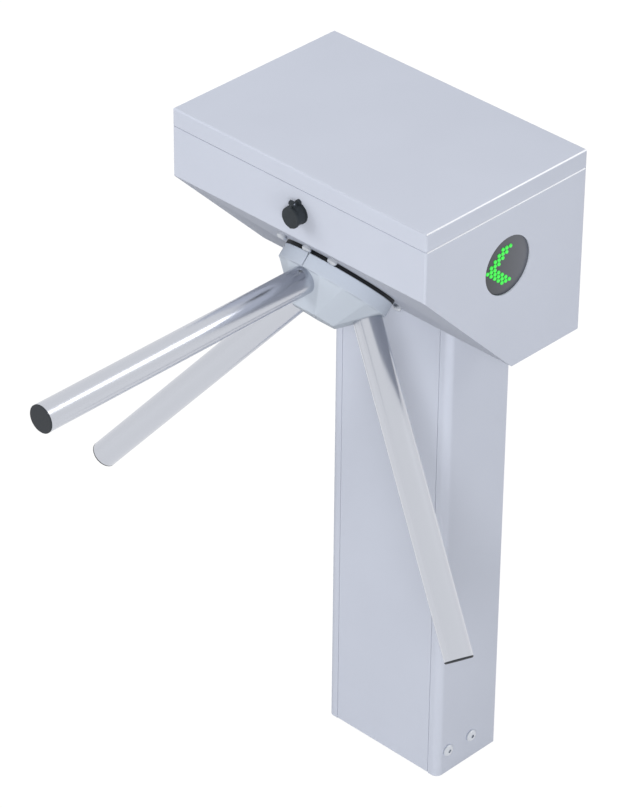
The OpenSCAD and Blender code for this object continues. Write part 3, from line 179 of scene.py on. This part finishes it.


# painted shade: the casting's turned rim is drawn darker for the shade it lies in, measured along the
# slanted face's axis
def paintRimShade(tree, shader, finish):
    place = addNode(tree, "ShaderNodeTexCoord")
    along = addNode(tree, "ShaderNodeVectorMath", {"operation": "DOT_PRODUCT"})
    tree.links.new(place.outputs["Object"], along.inputs[0])
    along.inputs[1].default_value = finish["axis"]
    onCap = addNode(tree, "ShaderNodeMapRange",
        {"From Min": finish["rimShadeEnd"] * mm, "From Max": finish["capStart"] * mm},
        {"Value": along.outputs["Value"]})
    shade = addRamp(tree, onCap.outputs["Result"], toLinear(finish["rim"]), white)
    coat = shader.inputs["Base Color"].links[0].from_socket
    # colour sockets of the mix node: 0 share, 6 and 7 the two colours, output 2
    blend = addNode(tree, "ShaderNodeMix", {"data_type": "RGBA", "blend_type": "MULTIPLY"})
    blend.inputs[0].default_value = 1.0
    tree.links.new(coat, blend.inputs[6])
    tree.links.new(shade.outputs["Color"], blend.inputs[7])
    tree.links.new(blend.outputs[2], shader.inputs["Base Color"])


# painted reflection: the acrylic's tone changes evenly from the window's front edge to its back edge
def paintReflectionAcross(tree, shader, finish):
    place = addNode(tree, "ShaderNodeTexCoord")
    split = addNode(tree, "ShaderNodeSeparateXYZ", {}, {"Vector": place.outputs["Object"]})
    across = addNode(tree, "ShaderNodeMapRange",
        {"From Min": finish["frontEdge"] * mm, "From Max": finish["backEdge"] * mm},
        {"Value": split.outputs["Y"]})
    ramp = addRamp(tree, across.outputs["Result"], toLinear(finish["low"]), toLinear(finish["high"]))
    tree.links.new(ramp.outputs["Color"], shader.inputs["Base Color"])


def makeMaterial(finish):
    material = bpy.data.materials.new(finish["name"])
    material.use_nodes = True
    tree = material.node_tree
    shader = tree.nodes["Principled BSDF"]
    shader.inputs["Base Color"].default_value = toLinear(finish["colour"])
    shader.inputs["Roughness"].default_value = finish["roughness"]
    shader.inputs["Metallic"].default_value = finish.get("metallic", 0.0)
    if "level" in finish:
        shader.inputs["Specular IOR Level"].default_value = finish["level"]
    if "index" in finish:
        shader.inputs["IOR"].default_value = finish["index"]
    if "glow" in finish:
        shader.inputs["Emission Color"].default_value = toLinear(finish["colour"])
        shader.inputs["Emission Strength"].default_value = finish["glow"]
    addGrain(tree, shader, finish)
    if "rim" in finish:
        paintRimShade(tree, shader, finish)
    if "frontEdge" in finish:
        paintReflectionAcross(tree, shader, finish)
    return material


materials = {key: makeMaterial(finish) for key, finish in finishes.items()}
print("materials made:", len(materials))

# which finish each CAD node takes
finishOfNode = {
    "paintedSheet": ["post_shell", "post_front_panel", "housing_shell", "lid_upstand", "lid"],
    "castPaint": ["hub", "hub_cap_plug"],
    "stainless": ["arm_tube_front", "arm_tube_left", "arm_tube_right", "hinge_pins", "dust_cap_pin"],
    "satinZinc": ["foot_side_bolts", "flange_bolts"],
    "steel": ["main_shaft", "shaft_nut", "main_bearings", "bearing_circlip", "drive_gear", "motor_pinion",
        "upper_pawl", "lower_pawl", "upper_plunger", "lower_plunger", "pawl_springs", "pawl_pivots",
        "hub_retaining_screw", "backplate_screws", "bearing_housing_bolts", "post_top_bolts", "lock_plug",
        "lock_nut", "arm_lock_screws"],
    "zinc": ["panel_hooks", "foot_plate", "foot_cleats", "post_top_plate", "mechanism_plate",
        "bearing_housing", "arm_spigots", "lid_catch", "lid_hinge_leaves", "body_hinge_leaves", "lock_cam",
        "pawl_solenoids"],
    # the hub's back plate is drawn near-black: partly its own lacquer, partly painted shade in the gap
    "lacquer": ["drive_motor", "hub_backplate"],
    "bronze": ["shaft_keys", "index_disc", "board_standoffs"],
    "alloy": ["power_supply"],
    "nylon": ["arm_end_plugs", "position_sensor"],
    "acrylic": ["led_windows"],
    "enamel": ["lock_housing", "dust_cap"],
    "rubber": ["lid_seal", "cable_grommet"],
    "board": ["control_board", "led_boards"],
}


def dressNodes():
    for key, names in finishOfNode.items():
        for name in names:
            if not nodes[name].material_slots:
                nodes[name].data.materials.append(None)
            for place in nodes[name].material_slots:
                place.material = materials[key]


dressNodes()
print("nodes dressed")


def clearSelection():
    bpy.ops.object.select_all(action="DESELECT")


# makes a piece the only selected and active one
def pick(piece):
    clearSelection()
    piece.select_set(True)
    bpy.context.view_layer.objects.active = piece


# puts a piece's place into its mesh
def settle(piece):
    pick(piece)
    bpy.ops.object.transform_apply(location=True, rotation=True, scale=True)


def addModifier(piece, kind, **settings):
    pick(piece)
    modifier = piece.modifiers.new(kind.title(), kind)
    for key, value in settings.items():
        setattr(modifier, key, value)
    bpy.ops.object.modifier_apply(modifier=modifier.name)


# place of the slanted face: its axis leans down and forward
slantCentre = Vector((0, -0.15325, 0.81875))
slantLean = 135
slantPlace = Matrix.Translation(slantCentre) @ Matrix.Rotation(radians(slantLean), 4, "X")

# hub casting: a round rim that carries a cap of flat faces, with softened edges; angles in degrees
hubSetup = {
    "rimRadius": 78.3 * mm,
    "rimBottom": 4.9 * mm,
    "rimTop": 24.5 * mm,
    "capHeight": 68.6 * mm,
    "capCorner": 35.0 * mm,
    "capSpread": 35.6,
    "socketSpread": 21.5,
    "flatSpread": 14.0,
    "halfPitch": 60,
    "arms": (90, 210, 330),
    "gaps": (30, 150, 270),
    "overlap": 1 * mm,
    "plugHole": 15.6 * mm,
    "plugDeep": 7.0 * mm,
    "grooveWide": 2.6 * mm,
    "grooveDeep": 3.5 * mm,
    "capSides": 96,
    "rimSides": 128,
    "plugSides": 64,
    "voxel": 1.1 * mm,
    "softening": 5,
    "softShare": 0.5,
}


def around(radius, angle, height):
    return Vector((radius * cos(radians(angle)), radius * sin(radians(angle)), height))


# cuts the piece in edit mode with the plane through three points, and keeps the side of the axis
def cutFlat(first, second, third):
    outward = (second - first).cross(third - first).normalized()
    if outward.dot(first) < 0:
        outward = -outward
    bpy.ops.mesh.select_all(action="SELECT")
    bpy.ops.mesh.bisect(plane_co=first, plane_no=outward, use_fill=True, clear_outer=True)


# joins the tool to the piece or cuts it away, and then removes the tool
def combine(piece, tool, operation):
    addModifier(piece, "BOOLEAN", object=tool, operation=operation, solver="EXACT")
    pick(tool)
    bpy.ops.object.delete()


# an upright cylinder on the hub's axis, between two heights
def addDisc(sides, radius, low, high):
    clearSelection()
    bpy.ops.mesh.primitive_cylinder_add(vertices=sides, radius=radius, depth=high - low,
        location=(0, 0, (low + high) / 2))
    return bpy.context.object


# cuts the flat faces: one over each arm, and three in each gap between two arms
def cutCap(sizes):
    rim, top, cap = sizes["rimRadius"], sizes["rimTop"], sizes["capHeight"]
    corner, spread = sizes["capCorner"], sizes["capSpread"]
    socket, flat, pitch = sizes["socketSpread"], sizes["flatSpread"], sizes["halfPitch"]
    for arm in sizes["arms"]:
        cutFlat(around(rim, arm - socket, top), around(rim, arm + socket, top),
            around(corner, arm + spread, cap))
    reach = pitch - spread
    for gap in sizes["gaps"]:
        cutFlat(around(rim, gap - flat, top), around(rim, gap + flat, top),
            around(corner, gap + reach, cap))
        for side in (-1, 1):
            cutFlat(around(rim, gap + side * flat, top), around(rim, gap + side * (pitch - socket), top),
                around(corner, gap + side * reach, cap))


def makeHub():
    sizes = hubSetup
    top, cap, deep = sizes["rimTop"], sizes["capHeight"], sizes["plugDeep"]
    hub = addDisc(sizes["capSides"], sizes["rimRadius"], top - 2 * sizes["overlap"], cap)
    hub.name = "hubCasting"
    settle(hub)
    pick(hub)
    bpy.ops.object.mode_set(mode="EDIT")
    cutCap(sizes)
    bpy.ops.object.mode_set(mode="OBJECT")
    combine(hub, addDisc(sizes["rimSides"], sizes["rimRadius"], sizes["rimBottom"], top), "UNION")
    combine(hub, addDisc(sizes["plugSides"], sizes["plugHole"], cap - deep, cap + deep), "DIFFERENCE")
    addModifier(hub, "REMESH", mode="VOXEL", voxel_size=sizes["voxel"])
    addModifier(hub, "SMOOTH", factor=sizes["softShare"], iterations=sizes["softening"])
    # parting grooves in the rim, one behind each arm
    for arm in sizes["arms"]:
        clearSelection()
        bpy.ops.mesh.primitive_cube_add(size=1, location=around(sizes["rimRadius"], arm, top / 2),
            rotation=(0, 0, radians(arm)), scale=(2 * sizes["grooveDeep"], sizes["grooveWide"], top))
        combine(hub, bpy.context.object, "DIFFERENCE")
    hub.matrix_world = slantPlace
    settle(hub)
    bpy.ops.object.shade_smooth()
    hub.data.materials.clear()
    hub.data.materials.append(materials["castPaint"])
    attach(hub, "rotor")
    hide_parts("hub")


makeHub()
print("hub made")

# sheet pieces with a painted highlight along some edges: a merged copy of the CAD node, with the pale
# painted highlight coat as its second material
copySetup = {
    "merge": 0.01 * mm,
    "flatAngle": 0.6,
    "smoothAngle": 20,
}
# lid: the painted highlight on the rounded top edge along its two sides, where the face's normal leans this
# much
lidSetup = {
    "highlightFrom": 0.45,
    "highlightTo": 0.9,
    "highlightAbove": 996 * mm,
}
# housing: the two side edges at the seam under the lid are eased, and the eased faces carry the painted
# highlight
shellSetup = {
    "ease": 1.3 * mm,
    "steps": 2,
    "levels": (974 * mm, 975 * mm),
    "levelSlack": 0.3 * mm,
    "sideSlack": 0.05 * mm,
}


def copyNode(name):
    pick(nodes[name])
    bpy.ops.object.duplicate()
    piece = bpy.context.object
    piece.name = name + "_eased"
    piece.data.materials.clear()
    piece.data.materials.append(materials["paintedSheet"])
    piece.data.materials.append(materials["edgeHighlightPaint"])
    bpy.ops.object.mode_set(mode="EDIT")
    bpy.ops.mesh.select_all(action="SELECT")
    bpy.ops.mesh.remove_doubles(threshold=copySetup["merge"])
    bpy.ops.mesh.dissolve_limited(angle_limit=radians(copySetup["flatAngle"]))
    bpy.ops.object.mode_set(mode="OBJECT")
    return piece


def finishCopy(piece, name, body):
    bpy.ops.object.shade_smooth_by_angle(angle=radians(copySetup["smoothAngle"]))
    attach(piece, body)
    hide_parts(name)


def makeLid():
    sizes = lidSetup
    lid = copyNode("lid")
    highlit = 0
    # painted highlight: the rounded edge faces along the lid's two sides take the pale second material
    for face in lid.data.polygons:
        rounded = sizes["highlightFrom"] < face.normal.z < sizes["highlightTo"]
        if rounded and face.center.z > sizes["highlightAbove"] and abs(face.normal.x) > abs(face.normal.y):
            face.material_index = 1
            highlit += 1
    finishCopy(lid, "lid", "lid")
    print("lid made,", highlit, "faces rubbed")


def bothNear(first, second, place, slack):
    return abs(first - place) < slack and abs(second - place) < slack


# selects the shell's outer edges that run level along its two sides
def pickSeam(shell):
    sizes = shellSetup
    low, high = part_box("housing_shell")
    bpy.ops.object.mode_set(mode="EDIT")
    bpy.ops.mesh.select_all(action="DESELECT")
    bpy.ops.mesh.select_mode(type="EDGE")
    bpy.ops.object.mode_set(mode="OBJECT")
    found = 0
    for edge in shell.data.edges:
        start, end = (shell.data.vertices[i].co for i in edge.vertices)
        level = any(bothNear(start.z, end.z, z, sizes["levelSlack"]) for z in sizes["levels"])
        onSide = any(bothNear(start.x, end.x, x, sizes["sideSlack"]) for x in (low[0], high[0]))
        if level and onSide:
            edge.select = True
            found += 1
    return found


def makeShell():
    shell = copyNode("housing_shell")
    found = pickSeam(shell)
    bpy.ops.object.mode_set(mode="EDIT")
    # the bevel faces take the second material, a painted highlight
    bpy.ops.mesh.bevel(offset=shellSetup["ease"], segments=shellSetup["steps"], affect="EDGES", material=1)
    bpy.ops.object.mode_set(mode="OBJECT")
    finishCopy(shell, "housing_shell", "stand")
    print("housing made,", found, "edges eased")


makeLid()
makeShell()

# diode lenses that stand in the two windows: each a barrel with a domed front and a collar behind
lampSetup = {
    "radius": 2.7 * mm,
    "barrel": 3.2 * mm,
    "dome": 2.1 * mm,
    "collarWide": 1.1,
    "collarThick": 0.5 * mm,
    "sides": 20,
    "domeSteps": 5,
    "endFacing": 0.9,
    "smoothAngle": 40,
    "columnStep": 6.86 * mm,
    "rowStep": 6.03 * mm,
    "rows": 4,
    "rowLength": 3,
    "firstColumn": -119.7 * mm,
    "middleRow": 892.8 * mm,
    "face": 217.7 * mm,
}


# selects the faces of a piece that look up (way 1) or down (way -1)
def selectEnd(piece, way):
    bpy.ops.object.mode_set(mode="EDIT")
    bpy.ops.mesh.select_mode(type="FACE")
    bpy.ops.mesh.select_all(action="DESELECT")
    bpy.ops.object.mode_set(mode="OBJECT")
    for face in piece.data.polygons:
        face.select = face.normal.z * way > lampSetup["endFacing"]
    bpy.ops.object.mode_set(mode="EDIT")


def makeLens():
    sizes = lampSetup
    clearSelection()
    bpy.ops.mesh.primitive_cylinder_add(vertices=sizes["sides"], radius=sizes["radius"],
        depth=sizes["barrel"], location=(0, 0, 0))
    lens = bpy.context.object
    lens.name = "diodeLens"
    selectEnd(lens, 1)
    bpy.ops.mesh.bevel(offset=sizes["dome"], segments=sizes["domeSteps"], affect="EDGES")
    bpy.ops.object.mode_set(mode="OBJECT")
    selectEnd(lens, -1)
    bpy.ops.mesh.extrude_region_move()
    bpy.ops.transform.resize(value=(sizes["collarWide"], sizes["collarWide"], 1))
    bpy.ops.mesh.extrude_region_move(TRANSFORM_OT_translate={"value": (0, 0, -sizes["collarThick"])})
    bpy.ops.object.mode_set(mode="OBJECT")
    bpy.ops.object.shade_smooth_by_angle(angle=radians(sizes["smoothAngle"]))
    lens.data.materials.append(materials["lamp"])
    return lens


# lays the lenses in a chevron: one is modelled, and the others are its copies
def makeLamps(side):
    sizes = lampSetup
    lamps = [makeLens()]
    lamps[0].rotation_euler = (0, radians(90 * side), 0)
    settle(lamps[0])
    for row in range(-sizes["rows"], sizes["rows"] + 1):
        for column in range(sizes["rowLength"]):
            if row > -sizes["rows"] or column:
                pick(lamps[0])
                bpy.ops.object.duplicate()
                lamps.append(bpy.context.object)
            along = sizes["firstColumn"] + sizes["columnStep"] * (abs(row) + column)
            up = sizes["middleRow"] + sizes["rowStep"] * row
            lamps[-1].location = (side * sizes["face"], along, up)
    clearSelection()
    for lamp in lamps:
        lamp.select_set(True)
    bpy.context.view_layer.objects.active = lamps[0]
    bpy.ops.object.join()
    group = bpy.context.object
    group.name = "diodeLenses_right" if side > 0 else "diodeLenses_left"
    settle(group)
    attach(group, "stand")


for side in (1, -1):
    makeLamps(side)
print("indicator lamps made")

# studio: pale floor and soft light; only the back lamp shows in the polished tubes
studio = {
    "floorSize": 14,
    "floorDrop": 0.0005,
    "floorGrey": 0.42,
    "floorGlow": 1.2,
    "floorShare": 0.78,
    "sky": 0.32,
}
lampsOfStudio = {
    "key": {"place": (5.0, -5.8, 4.4), "aim": (0, -0.1, 0.55), "size": 3.0, "power": 450, "glossy": False},
    "side": {"place": (6.5, -2.6, 1.3), "aim": (0, -0.1, 0.55), "size": 2.5, "power": 75, "glossy": False},
    "top": {"place": (-2.2, 5.2, 4.6), "aim": (0, -0.1, 0.55), "size": 3.0, "power": 190, "glossy": False},
    "left": {"place": (-4.4, -3.6, 3.4), "aim": (0, -0.2, 0.8), "size": 3.5, "power": 155, "glossy": False},
    "back": {"place": (2.55, 3.1, 4.5), "aim": (0, -0.3, 0.8), "size": 1.6, "power": 30, "glossy": True},
}


# a socket that is 1 where the background is seen: by the camera, in a mirror or through glass
def seenPlainly(tree):
    path = addNode(tree, "ShaderNodeLightPath")
    mirrored = addNode(tree, "ShaderNodeMath", {"operation": "MAXIMUM"})
    tree.links.new(path.outputs["Is Camera Ray"], mirrored.inputs[0])
    tree.links.new(path.outputs["Is Glossy Ray"], mirrored.inputs[1])
    seen = addNode(tree, "ShaderNodeMath", {"operation": "MAXIMUM"})
    tree.links.new(mirrored.outputs[0], seen.inputs[0])
    tree.links.new(path.outputs["Is Transmission Ray"], seen.inputs[1])
    return seen.outputs[0]


def mixShaders(tree, share, first, second):
    mix = addNode(tree, "ShaderNodeMixShader", {}, {"Fac": share})
    tree.links.new(first.outputs[0], mix.inputs[1])
    tree.links.new(second.outputs[0], mix.inputs[2])
    return mix.outputs[0]


def makeFloor():
    clearSelection()
    bpy.ops.mesh.primitive_plane_add(size=studio["floorSize"], location=(0, 0, -studio["floorDrop"]))
    floor = bpy.context.object
    floor.name = "studioFloor"
    material = bpy.data.materials.new("matt_white_studio_floor")
    material.use_nodes = True
    tree = material.node_tree
    tree.nodes.clear()
    # a share of the floor glows white; the rest is matt, and keeps the object's shadow
    share = addNode(tree, "ShaderNodeMath", {"operation": "MULTIPLY"})
    tree.links.new(seenPlainly(tree), share.inputs[0])
    share.inputs[1].default_value = studio["floorShare"]
    matt = addNode(tree, "ShaderNodeBsdfDiffuse", {"Color": (studio["floorGrey"],) * 3 + (1,)})
    glow = addNode(tree, "ShaderNodeEmission", {"Color": white, "Strength": studio["floorGlow"]})
    mixed = mixShaders(tree, share.outputs[0], matt, glow)
    addNode(tree, "ShaderNodeOutputMaterial", {}, {"Surface": mixed})
    floor.data.materials.append(material)


def makeSky():
    world = bpy.data.worlds.new("studioSky")
    bpy.context.scene.world = world
    world.use_nodes = True
    tree = world.node_tree
    tree.nodes.clear()
    soft = addNode(tree, "ShaderNodeBackground", {"Color": white, "Strength": studio["sky"]})
    plain = addNode(tree, "ShaderNodeBackground", {"Color": white, "Strength": 1.0})
    mixed = mixShaders(tree, seenPlainly(tree), soft, plain)
    addNode(tree, "ShaderNodeOutputWorld", {}, {"Surface": mixed})


def makeLamp(name, setup):
    data = bpy.data.lights.new(name, "AREA")
    data.size = setup["size"]
    data.energy = setup["power"]
    lamp = bpy.data.objects.new(name, data)
    bpy.context.collection.objects.link(lamp)
    lamp.visible_glossy = setup["glossy"]
    aim = Vector(setup["aim"]) - Vector(setup["place"])
    turn = aim.to_track_quat("-Z", "Y").to_matrix().to_4x4()
    lamp.matrix_world = Matrix.Translation(setup["place"]) @ turn


makeFloor()
makeSky()
for lampName, lampPlace in lampsOfStudio.items():
    makeLamp("soft_" + lampName, lampPlace)
bpy.context.scene.view_settings.view_transform = "Standard"
print("studio set")
